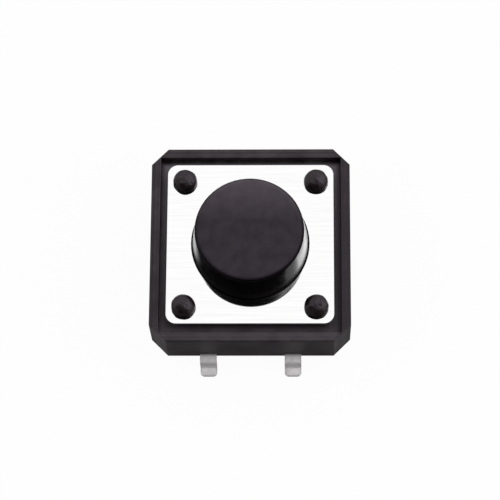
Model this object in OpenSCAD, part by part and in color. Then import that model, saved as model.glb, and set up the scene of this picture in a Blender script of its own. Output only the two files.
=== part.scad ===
// Square tactile push button switch for surface mounting, in millimetres.
// The board's surface is z = 0, the leads leave to the front (-Y) and to the back (+Y).

/* [Housing] */
// Width of the housing, from side to side
housing_w = 12; // [11.6:0.1:13]
// How much deeper the housing is, from front to back, than it is wide
extra_depth = 0.15; // [0:0.05:0.3]
// Height of the housing, from its underside to the top of its rim
housing_h = 3.15; // [3:0.05:4]
// Height of the housing's outer walls above the board
standoff = 0.75; // [0.5:0.05:0.9]
// Distance of the plinth under the housing from the housing's outline
plinth_inset = 1.2; // [0.8:0.1:2]
// Gap between the plinth and the board
plinth_gap = 0.1; // [0.05:0.05:0.2]
// Flat cut across each upright corner
corner_cut = 1; // [1:0.05:1.3]
// Thickness of the rim that stands round the cover
rim_w = 0.55; // [0.3:0.05:0.55]
// Thickness of the rim where the cut corners thin it
rim_corner_w = 0.08; // [0.06:0.02:0.3]
// Width of the groove beside the cover, on its left and right
groove_w = 0.45; // [0.3:0.05:0.6]
// Depth of the groove between the rim and the cover
groove_depth = 0.6; // [0.3:0.1:0.9]
// Distance of the staked posts' centres from the cover's edges
post_inset = 1.05; // [1:0.05:1.2]
// Diameter of a staked post where it passes through the cover
post_d = 0.9; // [0.7:0.1:1]
// Diameter of a post's melted head
head_d = 1.36; // [1.3:0.02:1.5]
// Height of a post's melted head above the cover
head_h = 0.45; // [0.4:0.05:0.6]
// Radius of the rounded edge of a post's melted head
head_edge_r = 0.18; // [0.1:0.01:0.18]

/* [Cover] */
// Thickness of the cover's sheet
cover_t = 0.3; // [0.2:0.05:0.4]
// Height of the cover's face above the rim
cover_proud = 0.1; // [0:0.05:0.2]
// Radius of the cover's corners
cover_corner_r = 0.6; // [0.3:0.1:1]
// How far the cover overhangs the step that it lies on
cover_overhang = 0.08; // [0:0.02:0.12]
// Clearance round each post in the cover's holes
post_clear = 0.05; // [0.02:0.01:0.06]
// Rolled edge left by the press on the cover's upper side
cover_roll = 0.02; // [0.02:0.02:0.1]

/* [Button] */
// Diameter of the button's flat top
button_top_d = 6.44; // [6:0.04:6.8]
// Diameter of the button where it passes through the cover
button_base_d = 6.95; // [6.8:0.05:7.1]
// Height of the button's top above the cover
button_rise = 2.65; // [1:0.05:4]
// Radius of the button's upper edge
button_edge_r = 0.3; // [0.05:0.01:0.3]
// Clearance round the button in the cover's hole
button_clear = 0.06; // [0.05:0.01:0.15]
// How far the button travels when it is pressed
travel = 0.3; // [0.2:0.05:0.35]
// Reach of the flange that keeps the button under the cover
flange_reach = 0.65; // [0.4:0.05:0.7]
// Thickness of the flange
flange_t = 0.6; // [0.4:0.1:0.8]
// Gap between the flange and the cover at rest
flange_gap = 0.02; // [0.01:0.01:0.05]
// Clearance round the flange in the housing
flange_clear = 0.15; // [0.1:0.01:0.2]
// Room under the flange when the button is fully pressed
stop_gap = 0.05; // [0.02:0.01:0.1]
// Reach of each key past the flange's edge
key_reach = 0.2; // [0.1:0.05:0.3]
// Width of each key on the flange
key_w = 1.2; // [0.8:0.1:1.6]
// Clearance beside each key in its pocket
key_clear = 0.1; // [0.05:0.01:0.15]
// How far the skirt under the flange is set in from the button's side
skirt_inset = 0.05; // [0:0.05:0.2]
// Length of the skirt under the flange
skirt_l = 0.9; // [0.5:0.1:1]
// Clearance round the skirt in the housing
skirt_clear = 0.15; // [0.1:0.01:0.2]
// Thickness of the button's side and top walls
button_wall = 0.95; // [0.7:0.05:1.1]
// Diameter of the boss in the middle of the hollow button
boss_d = 2.2; // [1.8:0.1:2.6]
// Diameter of the nub that presses on the dome
nub_d = 1.2; // [0.8:0.1:1.6]
// Length of the nub under its boss
nub_l = 0.25; // [0.15:0.05:0.4]
// Gap between the nub and the dome at rest
nub_gap = 0.02; // [0.01:0.01:0.04]

/* [Snap dome] */
// Diameter of the snap dome
dome_d = 6.4; // [6:0.1:6.5]
// Height of the dome's middle above its rim
dome_rise = 0.35; // [0.3:0.05:0.5]
// Thickness of the dome's spring sheet
dome_t = 0.08; // [0.06:0.01:0.1]
// Clearance round the dome in its seat
dome_clear = 0.1; // [0.08:0.01:0.12]
// Depth of the seat that centres the dome
dome_seat_h = 0.2; // [0.1:0.05:0.3]

/* [Terminals] */
// Distance between the centres of the two leads on one side
lead_pitch = 5.1; // [4.6:0.1:5.4]
// Width of a lead
lead_w = 1; // [0.8:0.1:1.2]
// Thickness of the terminals' sheet
sheet_t = 0.2; // [0.15:0.05:0.25]
// How far a lead reaches past the housing
lead_reach = 1.1; // [1:0.05:1.6]
// Straight run of a lead between the housing and its first bend
lead_run = 0.3; // [0.1:0.05:0.4]
// Height of a lead's underside where it leaves the housing
lead_z = 1.05; // [1:0.05:1.2]
// Slope of a lead between its two bends
lead_slope = 87; // [75:1:90]
// Inner radius of a lead's bends
bend_r = 0.06; // [0.04:0.01:0.1]
// Radius of the corners at a lead's tip
tip_r = 0.25; // [0.1:0.05:0.35]
// Thickness of the plastic over the terminals in the dome's seat
floor_skin = 0.1; // [0.05:0.05:0.2]
// Diameter of the raised pad under the middle of the dome
centre_pad_d = 1.1; // [0.8:0.1:1.4]
// Diameter of each raised pad under the dome's rim
rim_pad_d = 0.6; // [0.5:0.05:0.6]
// How far inside the dome's rim the rim pads are centred
rim_pad_inset = 0.25; // [0.25:0.05:0.35]
// Angle of the rim pads round the dome, from the line across the two strips
rim_pad_angle = 35; // [30:1:45]
// Width of the tabs that carry the rim pads
tab_w = 0.8; // [0.6:0.1:1]
// Width of the arm that carries the centre pad
arm_w = 0.9; // [0.7:0.1:1.1]
// Width of the round end of that arm
arm_end_d = 1.6; // [1.4:0.1:1.8]
// Diameter of the holes that the mould's pins leave under the terminals
pin_hole_d = 0.7; // [0.5:0.05:0.8]

/* [Hidden] */
$fn = 64;
// Number of sides of small roundings, and of the dome's large circles
small_fn = 24;
large_fn = 360;
// How far cutting shapes reach past the faces that they cut
cut = 0.5;

housing_l = housing_w + extra_depth;
cover_w = housing_w - 2 * (rim_w + groove_w);
post_pitch = cover_w - 2 * post_inset;
flange_d = button_base_d + 2 * flange_reach;
skirt_d = button_base_d - 2 * skirt_inset;
rim_z = standoff + housing_h;
cover_top = rim_z + cover_proud;
cover_z = cover_top - cover_t;
groove_z = rim_z - groove_depth;
floor_z = lead_z + sheet_t + floor_skin;
apex_z = floor_z + dome_rise;
nub_z = apex_z + dome_t + nub_gap;
centre_pad_z = apex_z - (travel - nub_gap);
groove_corner_cut = max(0.01, corner_cut - 2 * rim_w + rim_corner_w * sqrt(2));
flange_top = cover_z - flange_gap;
flange_z = flange_top - flange_t;
stop_z = flange_z - travel - stop_gap;
skirt_z = flange_z - skirt_l;
button_top = cover_top + button_rise;
rim_pad = (dome_d / 2 - rim_pad_inset) * [cos(rim_pad_angle), sin(rim_pad_angle)];
key_r = flange_d / 2 + key_reach;

// The unit vector at an angle.
function towards(angle) = [cos(angle), sin(angle)];

// The housing's outline moved in by a distance, with its corners cut off.
module housing_outline(inset, corner) {
    x = housing_w / 2 - inset;
    y = housing_l / 2 - inset;
    polygon([
        [x, corner - y], [x, y - corner], [x - corner, y], [corner - x, y],
        [-x, y - corner], [-x, corner - y], [corner - x, -y], [x - corner, -y]]);
}

module rounded_square(w, r) {
    square([w, w - 2 * r], center = true);
    square([w - 2 * r, w], center = true);
    for (sx = [-1, 1], sy = [-1, 1])
        translate([sx * (w / 2 - r), sy * (w / 2 - r)]) circle(r);
}

module at_posts() {
    for (sx = [-1, 1], sy = [-1, 1])
        translate([sx * post_pitch / 2, sy * post_pitch / 2]) children();
}

// Half the outline of a melted head: a low dome that runs into a rounded edge.
module head_profile() {
    edge = [head_d / 2 - head_edge_r, head_edge_r];
    rise = head_h - edge.y;
    dome_r = (edge.x * edge.x + rise * rise - head_edge_r * head_edge_r) / (2 * (rise - head_edge_r));
    centre = [0, head_h - dome_r];
    meet = centre + (edge - centre) * dome_r / (dome_r - head_edge_r);
    translate(edge) circle(head_edge_r, $fn = small_fn);
    intersection() {
        translate(centre) circle(dome_r);
        polygon([[0, 0], [edge.x, 0], edge, meet + (meet - edge), [0, 2 * head_h]]);
    }
}

module staked_post() {
    translate([0, 0, groove_z]) cylinder(d = post_d, h = cover_top - groove_z);
    translate([0, 0, cover_top]) rotate_extrude($fn = small_fn) head_profile();
}

// Round wells for the dome, for the button's skirt and for its flange, one above the other.
module button_well() {
    translate([0, 0, floor_z])
        cylinder(d = dome_d + 2 * dome_clear, h = dome_seat_h + cut);
    translate([0, 0, floor_z + dome_seat_h])
        cylinder(d = skirt_d + 2 * skirt_clear, h = stop_z - floor_z - dome_seat_h + cut);
    translate([0, 0, stop_z]) {
        cylinder(d = flange_d + 2 * flange_clear, h = cover_z - stop_z + cut);
        linear_extrude(cover_z - stop_z + cut)
            key_outline(key_r + flange_clear, key_w + 2 * key_clear);
    }
}

// The two keys that stop the button from turning, with round ends.
module key_outline(r, w) {
    intersection() {
        circle(r);
        square([2 * r, w], center = true);
    }
}

module housing_blank() {
    translate([0, 0, plinth_gap]) linear_extrude(standoff - plinth_gap)
        housing_outline(plinth_inset, corner_cut);
    translate([0, 0, standoff])
        linear_extrude(groove_z - standoff) housing_outline(0, corner_cut);
    translate([0, 0, groove_z]) {
        linear_extrude(rim_z - groove_z) difference() {
            housing_outline(0, corner_cut);
            housing_outline(rim_w, groove_corner_cut);
        }
        linear_extrude(cover_z - groove_z)
            rounded_square(cover_w - 2 * cover_overhang, cover_corner_r);
    }
}

module pin_holes() {
    centres = [[0, 0], for (sx = [-1, 1], sy = [-1, 1]) [sx * lead_pitch / 2, sy * rim_pad.y]];
    for (p = centres)
        translate([p.x, p.y, plinth_gap - cut])
            cylinder(d = pin_hole_d, h = lead_z + sheet_t / 2 - plinth_gap + cut);
}

module base_housing() {
    color("#2d2b2e") {
        difference() {
            union() {
                housing_blank();
                at_posts() staked_post();
            }
            button_well();
            centre_contact(cut);
            rim_contact(cut);
            pin_holes();
        }
    }
}

module cover_plate() {
    color("#dedede") difference() {
        translate([0, 0, cover_z]) linear_extrude(cover_t) difference() {
            rounded_square(cover_w, cover_corner_r);
            circle(d = button_base_d + 2 * button_clear);
            at_posts() circle(d = post_d + 2 * post_clear);
        }
        hole_r = button_base_d / 2 + button_clear;
        translate([0, 0, cover_top - cover_roll])
            cylinder(r1 = hole_r, r2 = hole_r + 2 * cover_roll, h = 2 * cover_roll);
    }
}

// Half the section of the button, hollow round its boss.
module button_profile() {
    top_r = button_top_d / 2;
    base_r = button_base_d / 2;
    taper = atan((base_r - top_r) / button_rise);
    edge = [top_r - button_edge_r * (1 - sin(taper)) / cos(taper), button_top - button_edge_r];
    difference() {
        union() {
            polygon([
                [0, nub_z], [nub_d / 2, nub_z], [nub_d / 2, nub_z + nub_l],
                [boss_d / 2, nub_z + nub_l], [boss_d / 2, skirt_z], [skirt_d / 2, skirt_z],
                [skirt_d / 2, flange_z], [flange_d / 2, flange_z], [flange_d / 2, flange_top],
                [base_r, flange_top], [base_r, cover_top], edge + button_edge_r * towards(taper),
                edge, [edge.x, button_top], [0, button_top]]);
            translate(edge) circle(button_edge_r, $fn = small_fn);
        }
        translate([boss_d / 2, skirt_z - cut])
            square([top_r - button_wall - boss_d / 2, button_top - button_wall - skirt_z + cut]);
    }
}

module push_button() {
    color("#39353a") {
        rotate_extrude() button_profile();
        translate([0, 0, flange_z]) linear_extrude(flange_t) difference() {
            key_outline(key_r, key_w);
            circle(d = button_base_d);
        }
    }
}

module snap_dome() {
    dome_r = (dome_d * dome_d / 4 + dome_rise * dome_rise) / (2 * dome_rise);
    color("#b9b2a2") translate([0, 0, floor_z]) rotate_extrude() intersection() {
        translate([0, dome_rise - dome_r]) difference() {
            circle(dome_r + dome_t, $fn = large_fn);
            circle(dome_r, $fn = large_fn);
        }
        square([dome_d / 2, 2 * (dome_rise + dome_t)]);
    }
}

// A bent piece of sheet seen from its edge, inside radius bend_r, from one angle to a larger one.
module bend_profile(from, to) {
    reach = 2 * (bend_r + sheet_t);
    intersection() {
        difference() {
            circle(bend_r + sheet_t);
            circle(bend_r);
        }
        polygon([[0, 0], reach * towards(from), reach * towards(to)]);
    }
}

// A lead seen from its side: out of the housing, down a slope and along the board.
module lead_profile() {
    between = 2 * bend_r + sheet_t;
    slope_l = (lead_z - between * (1 - cos(lead_slope))) / sin(lead_slope);
    upper = [lead_run, lead_z - bend_r];
    lower = upper + between * towards(90 - lead_slope) + slope_l * towards(-lead_slope);
    translate([0, lead_z]) square([lead_run, sheet_t]);
    translate(upper) bend_profile(90 - lead_slope, 90);
    translate(upper) rotate(-lead_slope) translate([0, bend_r]) square([slope_l, sheet_t]);
    translate(lower) bend_profile(270 - lead_slope, 270);
    translate([lower.x, 0]) square([lead_reach - lower.x, sheet_t]);
}

module lead_outline() {
    translate([-lead_w / 2, 0]) square([lead_w, lead_reach - tip_r]);
    translate([tip_r - lead_w / 2, 0]) square([lead_w - 2 * tip_r, lead_reach]);
    for (side = [-1, 1])
        translate([side * (lead_w / 2 - tip_r), lead_reach - tip_r]) circle(tip_r);
}

// The two leads of one terminal, one on each side of the housing.
module leads(x) {
    for (turn = [0, 180])
        translate([x, 0, 0]) rotate(turn) translate([0, housing_l / 2, 0]) intersection() {
            rotate([90, 0, 90]) linear_extrude(lead_w, center = true) lead_profile();
            linear_extrude(lead_z + sheet_t + cut) lead_outline();
        }
}

// The flat strip of one terminal, from one side of the housing to the other.
module strip(x, over) {
    translate([x, 0, lead_z]) linear_extrude(sheet_t)
        square([lead_w, housing_l + 2 * over], center = true);
}

module raised_pad(x, y, d, top) {
    translate([x, y, lead_z]) cylinder(d = d, h = top - lead_z);
}

// What the housing holds of the terminal under the middle of the dome, "over" longer where it leaves.
module centre_contact(over = 0) {
    strip(-lead_pitch / 2, over);
    translate([0, 0, lead_z]) linear_extrude(sheet_t) {
        translate([-lead_pitch / 2, -arm_w / 2]) square([lead_pitch / 2, arm_w]);
        circle(d = arm_end_d);
    }
    raised_pad(0, 0, centre_pad_d, centre_pad_z + over);
}

// What the housing holds of the terminal under the dome's rim, "over" longer where it leaves.
module rim_contact(over = 0) {
    strip(lead_pitch / 2, over);
    for (side = [-1, 1]) {
        translate([rim_pad.x, side * rim_pad.y, lead_z]) linear_extrude(sheet_t) {
            circle(d = tab_w);
            translate([min(0, lead_pitch / 2 - rim_pad.x), -tab_w / 2])
                square([abs(lead_pitch / 2 - rim_pad.x), tab_w]);
        }
        raised_pad(rim_pad.x, side * rim_pad.y, rim_pad_d, floor_z + over);
    }
}

module centre_terminal() {
    color("#c9c9cb") {
        centre_contact();
        leads(-lead_pitch / 2);
    }
}

module rim_terminal() {
    color("#c9c9cb") {
        rim_contact();
        leads(lead_pitch / 2);
    }
}

base_housing();
cover_plate();
push_button();
snap_dome();
centre_terminal();
rim_terminal();
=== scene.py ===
import math

import bmesh
import bpy
from mathutils import Matrix, Vector, noise


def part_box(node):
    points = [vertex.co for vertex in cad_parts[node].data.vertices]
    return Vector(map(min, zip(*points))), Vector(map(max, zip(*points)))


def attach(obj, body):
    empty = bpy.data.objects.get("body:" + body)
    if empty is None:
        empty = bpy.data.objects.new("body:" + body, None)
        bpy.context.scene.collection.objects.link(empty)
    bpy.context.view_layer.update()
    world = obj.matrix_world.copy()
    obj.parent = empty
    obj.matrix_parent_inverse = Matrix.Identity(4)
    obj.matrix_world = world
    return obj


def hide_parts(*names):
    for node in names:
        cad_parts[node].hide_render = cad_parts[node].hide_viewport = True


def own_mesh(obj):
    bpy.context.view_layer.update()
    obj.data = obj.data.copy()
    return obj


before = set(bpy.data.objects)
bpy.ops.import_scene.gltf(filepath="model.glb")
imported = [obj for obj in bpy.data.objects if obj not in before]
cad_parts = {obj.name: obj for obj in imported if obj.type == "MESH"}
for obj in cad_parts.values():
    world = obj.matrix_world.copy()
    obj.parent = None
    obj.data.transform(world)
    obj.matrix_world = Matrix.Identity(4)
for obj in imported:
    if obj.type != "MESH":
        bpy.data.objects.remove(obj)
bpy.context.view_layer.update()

MM = 0.001


def mm(*values):
    """Values in millimetres, as a tuple of metres."""
    return tuple(value * MM for value in values)


# Camera, as found from the photograph's straight edges and circles
PHOTO_SIDE = 500
FOCAL_PX = 2230.92
SENSOR_MM = 36.0
CAMERA_DISTANCE = 136.02 * MM
CAMERA_ELEVATION = math.radians(71.31)
CAMERA_AZIMUTH = math.radians(3.98)
CAMERA_ROLL = math.radians(-3.86)
CAMERA_TARGET = Vector((-0.067, 0.372, 1.65)) * MM
CAMERA_CLIP = (0.001, 10)

# Tent of light: levels as shares of white, edges as parts of a direction of length 1
TENT_TURN = math.radians(-13)
TENT_LEVEL = 0.75
FRONT_LEVEL = 0.05
FRONT_EDGE = (-0.55, -0.15)
PATCH_LEVEL = 0.01
PATCH_BACK_EDGE = (0.04, 0.17)
PATCH_LOW_EDGE = (0.5, 0.75)
SIDE_LEVEL = 0.15
SIDE_EDGE = (0.5, 0.75)
FLAG_TOWARDS = Vector((26, 28, 150)).normalized()
FLAG_EDGE = (0.06, 0.11)

# Lamps
SOFTBOXES = {
    "back_softbox": {"place": (0.03, 0.12, 0.15), "size": (0.3, 0.2), "radiance": 0.3},
    "right_softbox": {"place": (0.1, 0.05, 0.146), "size": (0.12, 0.1), "radiance": 0.6},
    "right_softbox_edge": {"place": (0.1, 0.035, 0.142), "size": (0.12, 0.15), "radiance": 0.4},
}
FILL_SIZE = 0.15
FILLS = {
    "left_fill": {"place": (-0.2, -0.03, 0.16), "radiance": 3.6},
    "right_fill": {"place": (0.2, -0.03, 0.16), "radiance": 3.6},
}

# Floor
FLOOR_SIZE = 0.6
FLOOR_COLOUR = (0.75, 0.75, 0.75, 1)
FLOOR_ROUGHNESS = 0.9
FLOOR_GLOW = 0.96
# Floor as glossy surfaces see it: glow levels in front and beside, with a painted shadow in front
# of the housing
FLOOR_PAINTED_GLOW = (0.1, 0.28)
FLOOR_PAINTED_SHADOW_EDGE = mm(4.5, 6.5)

# Colours, each pair from dark to light
WHITE = (1, 1, 1, 1)
PLASTIC_TINT = (1, 0.88, 0.97, 1)
HOUSING_COLOURS = ((0.007, 0.005, 0.0065), (0.038, 0.032, 0.036))
# Painted light on the groove's floor
GROOVE_LIGHT_COLOUR = (0.17, 0.152, 0.168)
MELTED_COLOURS = ((0.003, 0.0015, 0.002), (0.014, 0.009, 0.01))
MATTE_COLOURS = ((0.024, 0.018, 0.025), (0.035, 0.028, 0.037))
POLISHED_COLOURS = ((0.0012, 0.0006, 0.001), (0.002, 0.001, 0.0016))
COVER_COLOURS = ((0.9, 0.895, 0.895), (0.95, 0.95, 0.95))
TIN_COLOURS = ((0.75, 0.72, 0.73), (0.88, 0.85, 0.86))
# Painted shade on the leads, also used for their darker edges
LEAD_DARK_COLOUR = (0.02, 0.018, 0.018)
SPRING_COLOURS = ((0.52, 0.48, 0.4), (0.62, 0.58, 0.5))

# Surfaces: noise as features per metre and detail, relief as strength and depth
NOISE_LOW, NOISE_HIGH = 0.3, 0.7
HOUSING_CLOUD = (900, 3)
HOUSING_GRAIN = (14000, 4)
HOUSING_ROUGHNESS = (0.42, 0.55)
HOUSING_RELIEF = (0.25, 0.01 * MM)
MELTED_CLOUD = (3500, 4)
MELTED_GRAIN = (9000, 4)
MELTED_ROUGHNESS = (0.26, 0.42)
MELTED_RELIEF = (0.5, 0.03 * MM)
BUTTON_CLOUD = (1500, 3)
BUTTON_GRAIN = (9000, 4)
BUTTON_RELIEF = (0.3, 0.02 * MM)
COVER_BRUSHING = (7000, 3)
COVER_STRETCH = (0.04, 1, 1)
COVER_ROUGHNESS = (0.02, 0.06)
TIN_CLOUD = (2500, 4)
TIN_METALLIC = 0.12
TIN_ROUGHNESS = (0.42, 0.52)
TIN_RELIEF = (0.1, 0.01 * MM)
SPRING_CLOUD = (3000, 4)
SPRING_ROUGHNESS = (0.2, 0.32)

# Housing, by place: outward is the larger of |X| and |Y|
RIM_FROM = mm(4.9, 5.1)
RIM_HEIGHT = mm(3.7, 3.85)
RIM_LINES = (9000, 2)
RIM_LINES_SHADE = (-0.5, 0.5)
RIM_LINES_SHARE = 0.7
# Painted shade: a dark line along the rim's front edge
FRONT_RIM_PAINTED_SHADE_EDGE = mm(-6.05, -5.9)
FRONT_RIM_PAINTED_SHADE = -1
# Painted light: the front of the housing is painted paler
FRONT_PAINTED_LIGHT_EDGE = mm(-5.5, -5.1)
FRONT_PAINTED_LIGHT = (0.62, 0.1)
CLOUD_SHADE = (-0.15, 0.85)
CLOUD_SHARE = 0.75
# Painted shade on the step wall under the cover's edge
STEP_EDGE = mm(5.03, 5.1)
STEP_PAINTED_SHADE = -0.4
GROOVE_FLOOR = 3.3 * MM
GROOVE_FLOOR_REACH = 0.04 * MM
GROOVE_DEPTH_EDGE = mm(3.2, 3.3)
# Painted light on the groove's floor: fading out towards the rim's inner wall, stronger at the
# back and the left
GROOVE_LIGHT_EDGE = mm(5.15, 5.42)
GROOVE_LIGHT_SLOPE = mm(-3, 4.5)
GROOVE_LIGHT_TILT = -0.5
GROOVE_LIGHT_LEAST = 0.15
# Painted shade along X, on the side rims and beside them: from, to, and the shade at each
SIDE_PAINTED_SHADES = (
    (mm(-6, -5.7), (-0.3, 0)),
    (mm(-5.3, -5.1), (-0.15, 0)),
    (mm(5.1, 5.3), (0, -0.5)),
    (mm(5.7, 6), (0, -0.2)),
)

# Button, by depth under its top or height over the cover
TOP_DEPTHS = mm(0.09, 0.005)
SIDE_DEPTHS = mm(0.3, 0.24)
POLISH_HEIGHT = 0.9 * MM
FOOT_ROUGHNESS = 0.55
SIDE_ROUGHNESS = 0.16
TOP_ROUGHNESS = 0.5
SIDE_SPECULAR = 0.5
SHINE_EDGE = mm(0.5, 3.3)
SHINE = (0.12, 0.9)

# Leads
LEAD_PITCH = 5.1 * MM
LEAD_MIDDLE = 0.72 * MM
LEAD_ROOT = 0.2 * MM
LEAD_TIP_DEPTHS = mm(0.13, 0.02)
LEAD_SIDE_EDGE = mm(0.4, 0.49)
LEAD_SLOPE_EDGE = mm(0.2, 0.5)
# Painted shade at a lead's root by the housing and down its slope, and darker sides and tip
ROOT_PAINTED_SHADE = 0.92
EDGE_DARKENING = 0.25
SLOPE_PAINTED_SHADE = 0.3

# Softened edges
HOUSING_BEVEL = 0.05 * MM
BUTTON_BEVEL = 0.02 * MM
TERMINAL_BEVEL = 0.03 * MM
BEVEL_ANGLE = math.radians(35)
SHARP_ANGLE = math.radians(20)
WELD_DISTANCE = 0.0001 * MM

# Melted post heads
POST_PLACE = 3.95 * MM
HEAD_RADIUS = 0.73 * MM
HEAD_SHIFT = -0.04 * MM
HEAD_HEIGHT = 0.6 * MM
HEAD_CURL = 0.14 * MM
HEAD_CURL_SHARE = 0.1
HEAD_PEAK = 0.03 * MM
HEAD_PEAK_RADIUS = 0.18 * MM
HEAD_RISE_POWER = 0.9
HEAD_SIDE_POWER = 3.2
HEAD_TOP_POWER = 2.8
HEAD_RINGS = 22
HEAD_TURNS = 64
HEAD_FLAT_FOOT = 0.001 * MM
# Their roughness: scales per millimetre, depths in millimetres; the fractal's numbers are
# its dimension, the step between its octaves and how many there are
HEAD_SEED_STEP = (3.7, 1.9, 5.3)
HEAD_LUMPS_SCALE = 2.2
HEAD_LUMPS_FRACTAL = (1.0, 2.0, 3)
HEAD_LUMPS = 0.03
HEAD_GRAIN_SCALE = 9
HEAD_GRAIN = 0.012
HEAD_DEEPEST = -0.01

# Snap dome
DOME_SHEET = 0.08 * MM
DOME_RINGS = 24
DOME_TURNS = 96


def node_tree(name):
    """A new material and its node tree, with the shader ready."""
    material = bpy.data.materials.new(name)
    material.use_nodes = True
    return material, material.node_tree, material.node_tree.nodes["Principled BSDF"]


def add_node(tree, kind, **values):
    """A new node with its number sockets set by name."""
    node = tree.nodes.new(kind)
    for key, value in values.items():
        node.inputs[key.replace("_", " ")].default_value = value
    return node


def calculate(tree, operation, *sources):
    """The result of a math node over numbers and sockets."""
    node = tree.nodes.new("ShaderNodeMath")
    node.operation = operation
    for socket, source in zip(node.inputs, sources):
        if isinstance(source, (int, float)):
            socket.default_value = source
        else:
            tree.links.new(source, socket)
    return node.outputs[0]


def measure(tree, operation, source, vector):
    """One number from a vector socket and a fixed vector, such as their distance."""
    node = tree.nodes.new("ShaderNodeVectorMath")
    node.operation = operation
    node.inputs[1].default_value = vector
    tree.links.new(source, node.inputs[0])
    return node.outputs["Value"]


def ranged(tree, source, low, high, start=NOISE_LOW, end=NOISE_HIGH):
    """The source's values from start to end, mapped to low and high."""
    node = add_node(
        tree, "ShaderNodeMapRange",
        From_Min=start, From_Max=end, To_Min=low, To_Max=high,
    )
    tree.links.new(source, node.inputs["Value"])
    return node.outputs["Result"]


def mixed(tree, factor, low, high):
    """From low to high as the factor goes from 0 to 1, each a colour or a socket."""
    node = tree.nodes.new("ShaderNodeMix")
    node.data_type = "RGBA"
    tree.links.new(factor, node.inputs["Factor"])
    for name, source in (("A", low), ("B", high)):
        if isinstance(source, tuple):
            node.inputs[name].default_value = (*source, 1)
        else:
            tree.links.new(source, node.inputs[name])
    return node.outputs["Result"]


def object_axes(tree):
    """The object's own coordinates, one socket per axis."""
    coordinates = tree.nodes.new("ShaderNodeTexCoord")
    split = tree.nodes.new("ShaderNodeSeparateXYZ")
    tree.links.new(coordinates.outputs["Object"], split.inputs["Vector"])
    return split.outputs


def place_noise(tree, scale, detail, stretch=(1, 1, 1)):
    """Noise over the object's own coordinates, with features of about 1 / scale metres."""
    coordinates = tree.nodes.new("ShaderNodeTexCoord")
    mapping = tree.nodes.new("ShaderNodeMapping")
    mapping.inputs["Scale"].default_value = stretch
    texture = add_node(tree, "ShaderNodeTexNoise", Scale=scale, Detail=detail)
    tree.links.new(coordinates.outputs["Object"], mapping.inputs["Vector"])
    tree.links.new(mapping.outputs["Vector"], texture.inputs["Vector"])
    return texture.outputs["Fac"]


def line_noise(tree, source, scale, detail):
    """Noise along one number, so that it is the same wherever that number is."""
    texture = add_node(tree, "ShaderNodeTexNoise", Scale=scale, Detail=detail)
    texture.noise_dimensions = "1D"
    tree.links.new(source, texture.inputs["W"])
    return texture.outputs["Fac"]


def bump(tree, height, shader, strength, distance):
    """Gives the shader a fine relief."""
    node = add_node(tree, "ShaderNodeBump", Strength=strength, Distance=distance)
    tree.links.new(height, node.inputs["Height"])
    tree.links.new(node.outputs["Normal"], shader.inputs["Normal"])


def look_basis():
    """Right, up and back vectors of the camera."""
    back = Vector((
        math.sin(CAMERA_AZIMUTH) * math.cos(CAMERA_ELEVATION),
        -math.cos(CAMERA_AZIMUTH) * math.cos(CAMERA_ELEVATION),
        math.sin(CAMERA_ELEVATION),
    ))
    right = Vector((math.cos(CAMERA_AZIMUTH), math.sin(CAMERA_AZIMUTH), 0.0))
    up = back.cross(right)
    turned_right = math.cos(CAMERA_ROLL) * right + math.sin(CAMERA_ROLL) * up
    turned_up = -math.sin(CAMERA_ROLL) * right + math.cos(CAMERA_ROLL) * up
    return turned_right, turned_up, back


def add_camera():
    """The photograph's camera."""
    right, up, back = look_basis()
    data = bpy.data.cameras.new("camera")
    data.sensor_width = SENSOR_MM
    data.lens = FOCAL_PX / PHOTO_SIDE * SENSOR_MM
    data.clip_start, data.clip_end = CAMERA_CLIP
    camera = bpy.data.objects.new("camera", data)
    place = Matrix.Translation(CAMERA_TARGET + back * CAMERA_DISTANCE)
    camera.matrix_world = place @ Matrix((right, up, back)).transposed().to_4x4()
    bpy.context.scene.collection.objects.link(camera)
    bpy.context.scene.camera = camera


def add_lamp(name, place, size, radiance):
    """A rectangular lamp that faces down, which the camera itself doesn't see."""
    data = bpy.data.lights.new(name, "AREA")
    data.shape = "RECTANGLE"
    data.size, data.size_y = size
    data.energy = radiance * math.pi * size[0] * size[1]
    lamp = bpy.data.objects.new(name, data)
    lamp.location = place
    lamp.visible_camera = False
    bpy.context.scene.collection.objects.link(lamp)
    return lamp


def add_softbox(name, place, size, radiance):
    """A lamp that is turned with the tent and shows in what is glossy."""
    lamp = add_lamp(name, place, size, radiance)
    lamp.rotation_euler.z = TENT_TURN


def add_fill(name, place, radiance):
    """A square lamp aimed at the object, which no surface mirrors."""
    lamp = add_lamp(name, place, (FILL_SIZE, FILL_SIZE), radiance)
    lamp.rotation_mode = "QUATERNION"
    lamp.rotation_quaternion = (-Vector(place)).to_track_quat("-Z", "Y")
    lamp.visible_glossy = False


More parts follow.
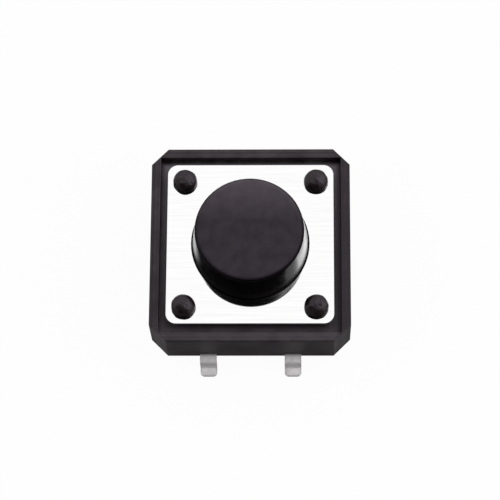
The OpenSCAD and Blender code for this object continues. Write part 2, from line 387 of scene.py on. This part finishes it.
def add_world():
    """White to the camera; to the object a tent of light, dark over its front and at two flags."""
    world = bpy.data.worlds.new("studio")
    world.use_nodes = True
    tree = world.node_tree
    background = tree.nodes["Background"]
    background.inputs["Color"].default_value = WHITE
    direction = tree.nodes.new("ShaderNodeTexCoord").outputs["Generated"]
    split = tree.nodes.new("ShaderNodeSeparateXYZ")
    tree.links.new(direction, split.inputs["Vector"])
    back = (-math.sin(TENT_TURN), math.cos(TENT_TURN), 0)
    backward = measure(tree, "DOT_PRODUCT", direction, back)
    patch = calculate(
        tree, "MULTIPLY",
        ranged(tree, backward, 1, 0, *PATCH_BACK_EDGE),
        ranged(tree, split.outputs["Z"], 0, 1, *PATCH_LOW_EDGE),
    )
    tent = ranged(tree, backward, FRONT_LEVEL, TENT_LEVEL, *FRONT_EDGE)
    aside = calculate(tree, "ABSOLUTE", split.outputs["X"])
    sides = ranged(tree, aside, 0, SIDE_LEVEL, *SIDE_EDGE)
    folded = tree.nodes.new("ShaderNodeCombineXYZ")
    for axis, source in (("X", aside), ("Y", split.outputs["Y"]), ("Z", split.outputs["Z"])):
        tree.links.new(source, folded.inputs[axis])
    from_flag = measure(tree, "DISTANCE", folded.outputs["Vector"], FLAG_TOWARDS)
    light = calculate(tree, "ADD", ranged(tree, patch, 1, 0, 0, 1), PATCH_LEVEL)
    light = calculate(tree, "MULTIPLY_ADD", light, tent, sides)
    light = calculate(tree, "MULTIPLY", light, ranged(tree, from_flag, 0, 1, *FLAG_EDGE))
    level = add_node(tree, "ShaderNodeMix", B=1.0)
    path = tree.nodes.new("ShaderNodeLightPath")
    tree.links.new(path.outputs["Is Camera Ray"], level.inputs["Factor"])
    tree.links.new(light, level.inputs["A"])
    tree.links.new(level.outputs["Result"], background.inputs["Strength"])
    bpy.context.scene.world = world


def add_floor():
    """A pale floor that the camera sees almost white, with a soft shadow left on it.

    What is glossy sees it too, as a glow with a painted shadow: darker in front of the housing
    than beside it.
    """
    mesh = bpy.data.meshes.new("floor")
    half = FLOOR_SIZE / 2
    corners = [(-half, -half, 0), (half, -half, 0), (half, half, 0), (-half, half, 0)]
    mesh.from_pydata(corners, [], [(0, 1, 2, 3)])
    floor = bpy.data.objects.new("floor", mesh)
    bpy.context.scene.collection.objects.link(floor)
    material, tree, shader = node_tree("floor_paper")
    shader.inputs["Base Color"].default_value = FLOOR_COLOUR
    shader.inputs["Roughness"].default_value = FLOOR_ROUGHNESS
    path = tree.nodes.new("ShaderNodeLightPath")
    seen, reflected = path.outputs["Is Camera Ray"], path.outputs["Is Glossy Ray"]
    glow = add_node(tree, "ShaderNodeEmission", Color=WHITE)
    # Painted shadow in the floor's glow for glossy rays: darker in front of the housing
    aside = calculate(tree, "ABSOLUTE", object_axes(tree)["X"])
    painted_reflected_glow = ranged(tree, aside, *FLOOR_PAINTED_GLOW, *FLOOR_PAINTED_SHADOW_EDGE)
    tree.links.new(calculate(tree, "MAXIMUM", seen, painted_reflected_glow), glow.inputs["Strength"])
    share = calculate(tree, "MULTIPLY", calculate(tree, "ADD", seen, reflected), FLOOR_GLOW)
    mix = tree.nodes.new("ShaderNodeMixShader")
    tree.links.new(share, mix.inputs["Fac"])
    tree.links.new(shader.outputs[0], mix.inputs[1])
    tree.links.new(glow.outputs[0], mix.inputs[2])
    tree.links.new(mix.outputs[0], tree.nodes["Material Output"].inputs["Surface"])
    mesh.materials.append(material)


def housing_tone_and_painted_light(tree, axes, outward):
    """How pale the housing's plastic is: clouds, lines along the rims, and painted light and shade
    by place.
    """
    on_rim = calculate(
        tree, "MULTIPLY",
        ranged(tree, outward, 0, RIM_LINES_SHARE, *RIM_FROM),
        ranged(tree, axes["Z"], 0, 1, *RIM_HEIGHT),
    )
    # Lines along the rims, with painted shade along the rim's front edge
    streaks_and_painted_shade = calculate(
        tree, "ADD",
        ranged(tree, line_noise(tree, outward, *RIM_LINES), *RIM_LINES_SHADE),
        ranged(tree, axes["Y"], FRONT_RIM_PAINTED_SHADE, 0, *FRONT_RIM_PAINTED_SHADE_EDGE),
    )
    # Painted light: paler towards the front
    front = ranged(tree, axes["Y"], *FRONT_PAINTED_LIGHT, *FRONT_PAINTED_LIGHT_EDGE)
    shade = calculate(tree, "MULTIPLY_ADD", streaks_and_painted_shade, on_rim, front)
    cloud = ranged(tree, place_noise(tree, *HOUSING_CLOUD), *CLOUD_SHADE)
    shade = calculate(tree, "MULTIPLY_ADD", cloud, CLOUD_SHARE, shade)
    # Painted shade on the left and right
    for places, shades in SIDE_PAINTED_SHADES:
        shade = calculate(tree, "ADD", shade, ranged(tree, axes["X"], *shades, *places))
    # Painted shade on the step wall under the cover's edge
    painted_shade_under_cover = calculate(
        tree, "MULTIPLY",
        ranged(tree, outward, STEP_PAINTED_SHADE, 0, *STEP_EDGE),
        ranged(tree, axes["Z"], 0, 1, *GROOVE_DEPTH_EDGE),
    )
    return calculate(tree, "ADD", shade, painted_shade_under_cover)


def groove_painted_light(tree, axes, outward):
    """How much painted light the housing gets: only on the groove's floor, most at the back and
    the left, fading out towards the rim's inner wall, where it stays in shade.
    """
    across = calculate(tree, "MULTIPLY_ADD", axes["X"], GROOVE_LIGHT_TILT, axes["Y"])
    lit_share = ranged(tree, across, GROOVE_LIGHT_LEAST, 1, *GROOVE_LIGHT_SLOPE)
    painted_light = calculate(tree, "MULTIPLY", lit_share, ranged(tree, outward, 1, 0, *GROOVE_LIGHT_EDGE))
    on_floor = calculate(tree, "COMPARE", axes["Z"], GROOVE_FLOOR, GROOVE_FLOOR_REACH)
    return calculate(tree, "MULTIPLY", painted_light, on_floor)


def housing_material():
    """Satin black plastic with faint clouds, lines along the rims, painted light and shade by
    place, and painted light on the groove's floor.
    """
    material, tree, shader = node_tree("housing_plastic")
    axes = object_axes(tree)
    aside, along = (calculate(tree, "ABSOLUTE", axes[axis]) for axis in "XY")
    outward = calculate(tree, "MAXIMUM", aside, along)
    plain = mixed(tree, housing_tone_and_painted_light(tree, axes, outward), *HOUSING_COLOURS)
    # Painted light on the groove's floor
    colour = mixed(tree, groove_painted_light(tree, axes, outward), plain, GROOVE_LIGHT_COLOUR)
    tree.links.new(colour, shader.inputs["Base Color"])
    grain = place_noise(tree, *HOUSING_GRAIN)
    tree.links.new(ranged(tree, grain, *HOUSING_ROUGHNESS), shader.inputs["Roughness"])
    shader.inputs["Specular Tint"].default_value = PLASTIC_TINT
    bump(tree, grain, shader, *HOUSING_RELIEF)
    return material


def melted_material():
    """The housing's plastic where it was melted: smoother and darker."""
    material, tree, shader = node_tree("melted_plastic")
    cloud = place_noise(tree, *MELTED_CLOUD)
    colour = mixed(tree, ranged(tree, cloud, 0, 1), *MELTED_COLOURS)
    tree.links.new(colour, shader.inputs["Base Color"])
    grain = place_noise(tree, *MELTED_GRAIN)
    tree.links.new(ranged(tree, grain, *MELTED_ROUGHNESS), shader.inputs["Roughness"])
    shader.inputs["Specular Tint"].default_value = PLASTIC_TINT
    bump(tree, cloud, shader, *MELTED_RELIEF)
    return material


def button_material():
    """A matte textured top, and a polished side, duller at its foot and shinier at the back."""
    material, tree, shader = node_tree("button_plastic")
    axes = object_axes(tree)
    top_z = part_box("push_button")[1].z
    cover_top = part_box("cover_plate")[1].z
    top = ranged(tree, axes["Z"], 0, 1, *(top_z - depth for depth in TOP_DEPTHS))
    side = ranged(tree, axes["Z"], 1, 0, *(top_z - depth for depth in SIDE_DEPTHS))
    cloud = ranged(tree, place_noise(tree, *BUTTON_CLOUD), 0, 1)
    polished = mixed(tree, cloud, *POLISHED_COLOURS)
    matte = mixed(tree, cloud, *MATTE_COLOURS)
    tree.links.new(mixed(tree, top, polished, matte), shader.inputs["Base Color"])
    foot = (cover_top, cover_top + POLISH_HEIGHT)
    polish = ranged(tree, axes["Z"], FOOT_ROUGHNESS, SIDE_ROUGHNESS, *foot)
    roughness = calculate(tree, "MAXIMUM", polish, calculate(tree, "MULTIPLY", top, TOP_ROUGHNESS))
    tree.links.new(roughness, shader.inputs["Roughness"])
    shader.inputs["Specular Tint"].default_value = PLASTIC_TINT
    shine = ranged(tree, axes["Y"], *SHINE, *SHINE_EDGE)
    specular = calculate(tree, "MAXIMUM", calculate(tree, "MULTIPLY", side, SIDE_SPECULAR), shine)
    tree.links.new(specular, shader.inputs["Specular IOR Level"])
    grain = calculate(tree, "MULTIPLY", top, place_noise(tree, *BUTTON_GRAIN))
    bump(tree, grain, shader, *BUTTON_RELIEF)
    return material


def cover_material():
    """Bright steel, brushed along X."""
    material, tree, shader = node_tree("cover_steel")
    brushed = place_noise(tree, *COVER_BRUSHING, COVER_STRETCH)
    colour = mixed(tree, ranged(tree, brushed, 0, 1), *COVER_COLOURS)
    tree.links.new(colour, shader.inputs["Base Color"])
    shader.inputs["Metallic"].default_value = 1
    tree.links.new(ranged(tree, brushed, *COVER_ROUGHNESS), shader.inputs["Roughness"])
    return material


def lead_darkness(tree):
    """How dark a lead is painted: painted shade at its root by the housing and down its slope, and
    darker along its sides and tip.
    """
    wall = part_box("base_housing")[1].y
    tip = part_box("rim_terminal")[1].y
    axes = object_axes(tree)
    out = calculate(tree, "ABSOLUTE", axes["Y"])
    aside = calculate(tree, "SUBTRACT", calculate(tree, "ABSOLUTE", axes["X"]), LEAD_PITCH / 2)
    level = calculate(tree, "SUBTRACT", axes["Z"], LEAD_MIDDLE)
    tip_edge = (tip - depth for depth in LEAD_TIP_DEPTHS)
    darkness = ranged(tree, out, ROOT_PAINTED_SHADE, 0, wall, wall + LEAD_ROOT)
    for dark_mark in (
        ranged(tree, out, 0, EDGE_DARKENING, *tip_edge),
        ranged(tree, calculate(tree, "ABSOLUTE", aside), 0, EDGE_DARKENING, *LEAD_SIDE_EDGE),
        ranged(tree, calculate(tree, "ABSOLUTE", level), SLOPE_PAINTED_SHADE, 0, *LEAD_SLOPE_EDGE),
    ):
        darkness = calculate(tree, "MAXIMUM", darkness, dark_mark)
    return darkness


def terminal_material():
    """Dull tin plating, with painted shade where the leads leave the housing and down their slope,
    and darker along their edges.
    """
    material, tree, shader = node_tree("plated_brass")
    cloud = place_noise(tree, *TIN_CLOUD)
    clean = mixed(tree, ranged(tree, cloud, 0, 1), *TIN_COLOURS)
    colour = mixed(tree, lead_darkness(tree), clean, LEAD_DARK_COLOUR)
    tree.links.new(colour, shader.inputs["Base Color"])
    shader.inputs["Metallic"].default_value = TIN_METALLIC
    tree.links.new(ranged(tree, cloud, *TIN_ROUGHNESS), shader.inputs["Roughness"])
    bump(tree, cloud, shader, *TIN_RELIEF)
    return material


def dome_material():
    """Bare spring steel."""
    material, tree, shader = node_tree("spring_steel")
    cloud = place_noise(tree, *SPRING_CLOUD)
    colour = mixed(tree, ranged(tree, cloud, 0, 1), *SPRING_COLOURS)
    tree.links.new(colour, shader.inputs["Base Color"])
    shader.inputs["Metallic"].default_value = 1
    tree.links.new(ranged(tree, cloud, *SPRING_ROUGHNESS), shader.inputs["Roughness"])
    return material


def dress(node, material, bevel_width):
    """Gives a CAD node its material, softened edges and clean shading."""
    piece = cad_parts[node]
    piece.data.materials.clear()
    piece.data.materials.append(material)
    for face in piece.data.polygons:
        face.use_smooth = True
    if bevel_width:
        soften_edges(piece, bevel_width)
    else:
        piece.data.set_sharp_from_angle(angle=SHARP_ANGLE)


def soften_edges(piece, bevel_width):
    """Rounds a piece's sharp edges and keeps its flat faces flat."""
    weld = piece.modifiers.new("weld", "WELD")
    weld.merge_threshold = WELD_DISTANCE
    soften = piece.modifiers.new("soften", "BEVEL")
    soften.width = bevel_width
    soften.segments = 3
    soften.limit_method = "ANGLE"
    soften.angle_limit = BEVEL_ANGLE
    flat = piece.modifiers.new("flat_faces", "WEIGHTED_NORMAL")
    flat.mode = "FACE_AREA"
    flat.weight = 100
    flat.keep_sharp = False


def revolve(name, profile, turns, centre):
    """A closed mesh turned about Z.

    The profile of (radius, height) points starts and ends on the axis.
    """
    mesh = bpy.data.meshes.new(name)
    shape = bmesh.new()
    rings = []
    for radius, height in profile:
        angles = [2 * math.pi * k / turns for k in range(turns)] if radius else [0]
        rings.append([
            shape.verts.new((
                centre[0] + radius * math.cos(angle),
                centre[1] + radius * math.sin(angle),
                centre[2] + height,
            ))
            for angle in angles
        ])
    for low, high in zip(rings, rings[1:]):
        for k in range(turns):
            corners = [
                low[k % len(low)], low[(k + 1) % len(low)],
                high[(k + 1) % len(high)], high[k % len(high)],
            ]
            shape.faces.new(list(dict.fromkeys(corners)))
    bmesh.ops.recalc_face_normals(shape, faces=shape.faces)
    for face in shape.faces:
        face.smooth = True
    shape.to_mesh(mesh)
    shape.free()
    piece = bpy.data.objects.new(name, mesh)
    bpy.context.scene.collection.objects.link(piece)
    return piece


def head_profile():
    """Half the outline of a melted head: curled in at its foot, full at its side, with a peak."""
    profile = [(0, 0)]
    for step in range(HEAD_RINGS + 1):
        height = HEAD_HEIGHT * math.sin(step / HEAD_RINGS * math.pi / 2) ** HEAD_RISE_POWER
        fullness = max(0.0, 1 - (height / HEAD_HEIGHT) ** HEAD_SIDE_POWER)
        radius = HEAD_RADIUS * fullness ** (1 / HEAD_TOP_POWER)
        curl = max(0.0, 1 - height / HEAD_CURL)
        radius *= 1 - HEAD_CURL_SHARE * curl * curl
        peak = HEAD_PEAK * max(0.0, 1 - radius / HEAD_PEAK_RADIUS)
        profile.append((0 if step == HEAD_RINGS else radius, height + peak))
    return profile


def add_post_head(name, x, y, seed, material):
    """The rough skin of one melted post head, over the plain head of the housing."""
    cover_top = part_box("cover_plate")[1].z
    foot = (x, y + HEAD_SHIFT, cover_top)
    head = revolve(name, head_profile(), HEAD_TURNS, foot)
    offset = Vector([seed * step for step in HEAD_SEED_STEP])
    for vertex in head.data.vertices:
        if vertex.co.z < cover_top + HEAD_FLAT_FOOT:
            continue
        outward = (vertex.co - Vector(foot)).normalized()
        place = vertex.co / MM
        lumps = noise.fractal(place * HEAD_LUMPS_SCALE + offset, *HEAD_LUMPS_FRACTAL) * HEAD_LUMPS
        grain = noise.noise(place * HEAD_GRAIN_SCALE + offset) * HEAD_GRAIN
        vertex.co += outward * max(HEAD_DEEPEST, lumps + grain) * MM
    head.data.materials.append(material)
    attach(head, "switch_body")


def add_dome(material):
    """The spring dome as a thin curved sheet; the real dome flattens as the button goes down."""
    low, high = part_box("snap_dome")
    radius = (high.x - low.x) / 2
    rise = high.z - low.z - DOME_SHEET
    ball = (radius * radius + rise * rise) / (2 * rise)
    steps = [radius * k / DOME_RINGS for k in range(DOME_RINGS + 1)]
    under = [(r, rise - ball + math.sqrt(ball * ball - r ** 2)) for r in steps]
    over = [(r, z + DOME_SHEET) for r, z in under]
    dome = revolve("snap_dome_sheet", [*under, *reversed(over)], DOME_TURNS, (0, 0, low.z))
    dome.data.materials.append(material)
    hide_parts("snap_dome")
    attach(dome, "switch_body")
    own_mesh(dome)


bpy.context.scene.view_settings.view_transform = "Standard"
add_camera()
add_world()
add_floor()
for softbox, values in SOFTBOXES.items():
    add_softbox(softbox, **values)
for fill, values in FILLS.items():
    add_fill(fill, **values)
dress("base_housing", housing_material(), HOUSING_BEVEL)
dress("cover_plate", cover_material(), 0)
dress("push_button", button_material(), BUTTON_BEVEL)
terminals = terminal_material()
for terminal in ("centre_terminal", "rim_terminal"):
    dress(terminal, terminals, TERMINAL_BEVEL)
melted = melted_material()
for count, (side_x, side_y) in enumerate([(-1, -1), (1, -1), (-1, 1), (1, 1)], 1):
    add_post_head(f"post_head_{count}", side_x * POST_PLACE, side_y * POST_PLACE, count, melted)
add_dome(dome_material())
